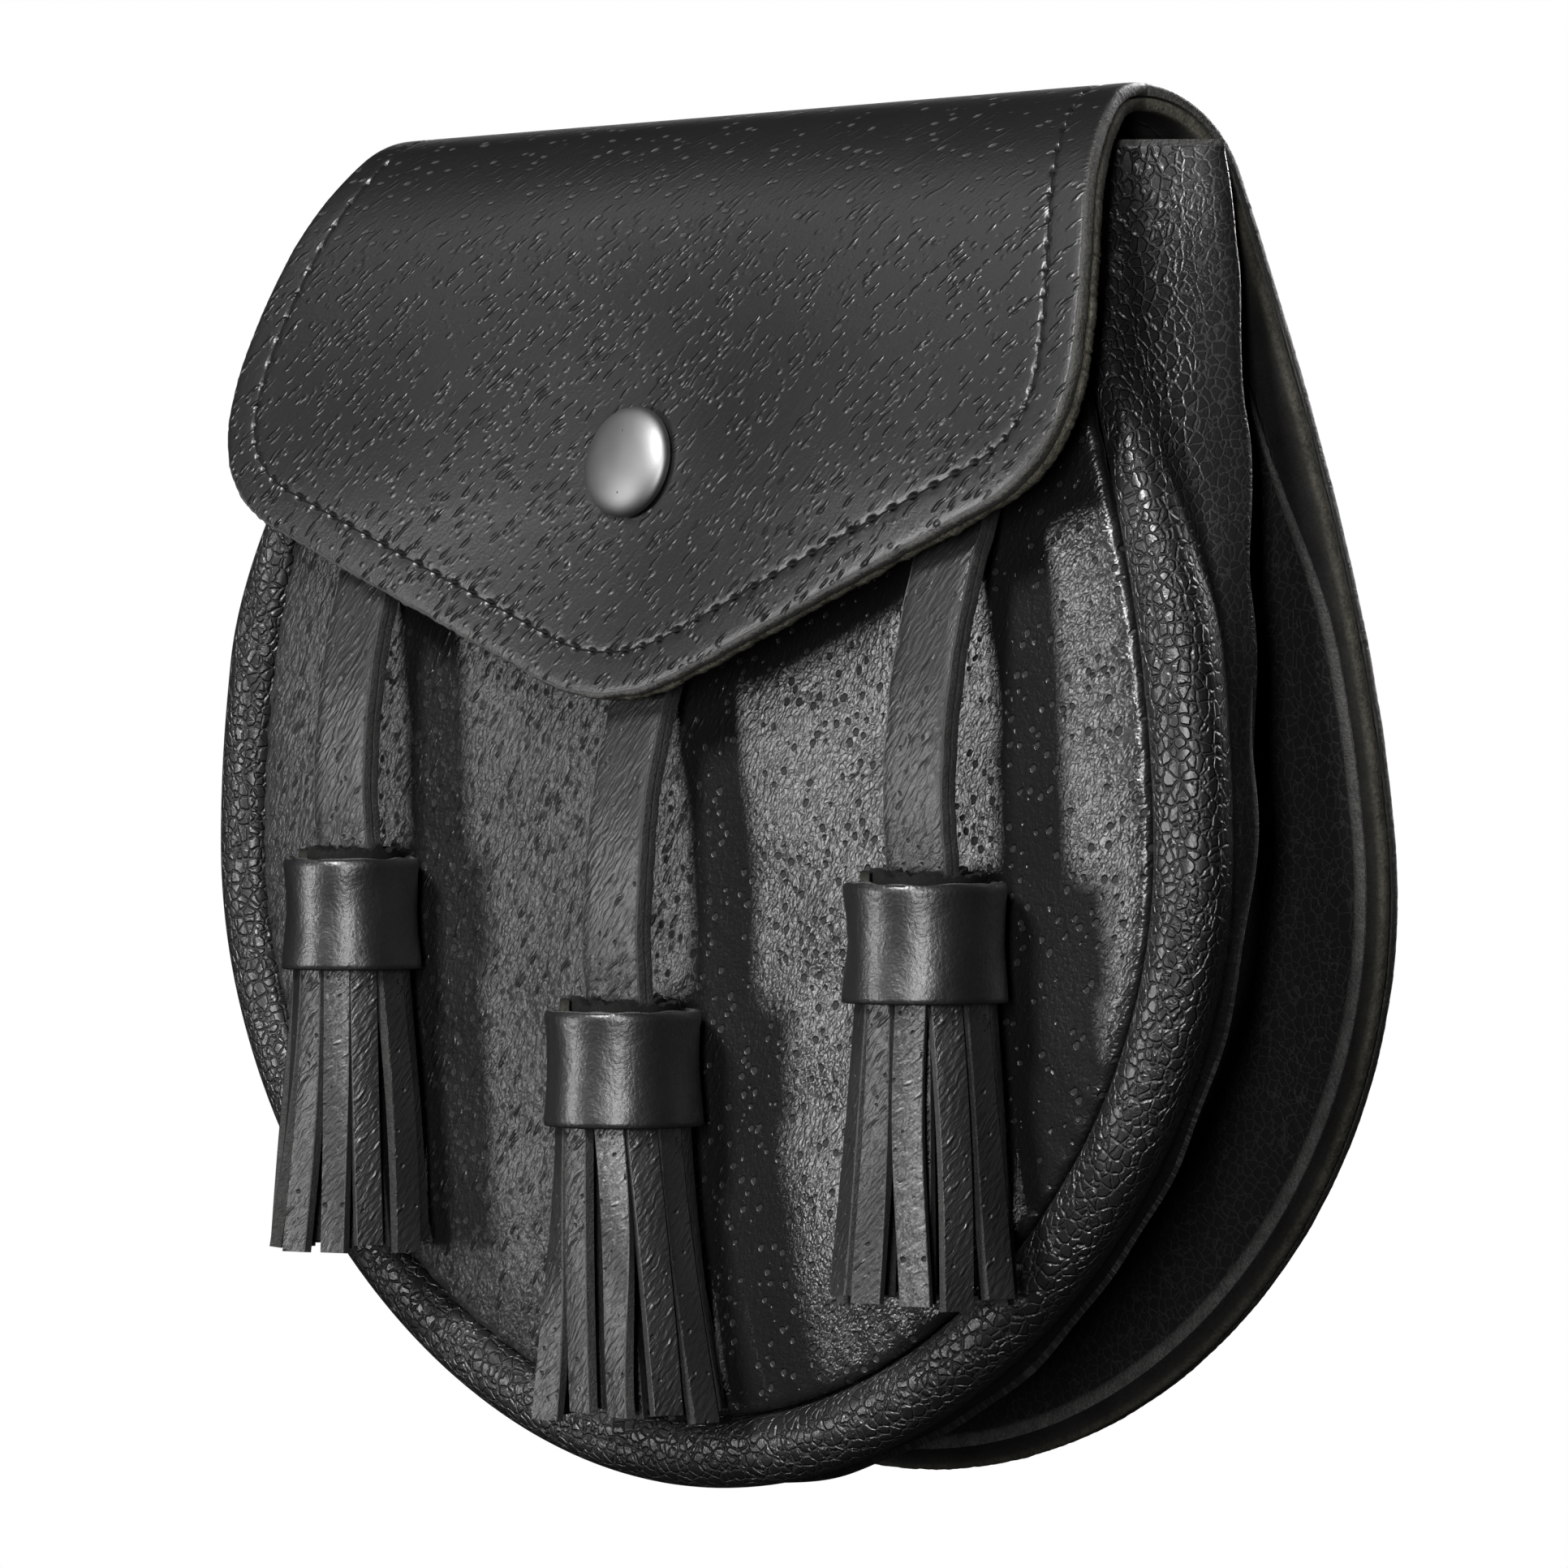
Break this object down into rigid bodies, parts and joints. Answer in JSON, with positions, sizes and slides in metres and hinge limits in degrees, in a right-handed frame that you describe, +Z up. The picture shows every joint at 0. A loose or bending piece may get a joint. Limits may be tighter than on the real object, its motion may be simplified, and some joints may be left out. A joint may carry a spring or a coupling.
{
  "type": "sporran pouch",
  "caption": "Black leather sporran pouch with a snapped envelope flap, a rolled front edge, a gusset, tassels on straps and loops behind.",
  "frame": {"origin": "hanging point on the rear face of the back, midway between the two belt loops", "axes": "+Z up as worn, -Y towards the viewer of the flap, +X to that viewer's right"},
  "size_m": [0.1842, 0.0725, 0.1854],
  "materials": {
    "grain_leather": "embossed grain, semi-matt",
    "flesh_leather": "matt, fibrous",
    "soft_leather": "soft pebbled grain",
    "strap_leather": "smooth with raw cut edges",
    "collar_leather": "smooth, satin",
    "snap_metal": "satin gunmetal"
  },
  "bodies": {
    "root": {"back_and_flap": "grain_leather", "flap_lining": "flesh_leather", "front_panel": "grain_leather", "rolled_edge": "soft_leather", "gusset": "soft_leather", "snap_cap": "snap_metal", "snap_stud": "snap_metal", "strap_left": "strap_leather", "collar_left": "collar_leather", "fringe_left": "strap_leather", "strap_middle": "strap_leather", "collar_middle": "collar_leather", "fringe_middle": "strap_leather", "strap_right": "strap_leather", "collar_right": "collar_leather", "fringe_right": "strap_leather", "belt_loop_left": "strap_leather", "belt_loop_right": "strap_leather"}
  },
  "joints": []
}
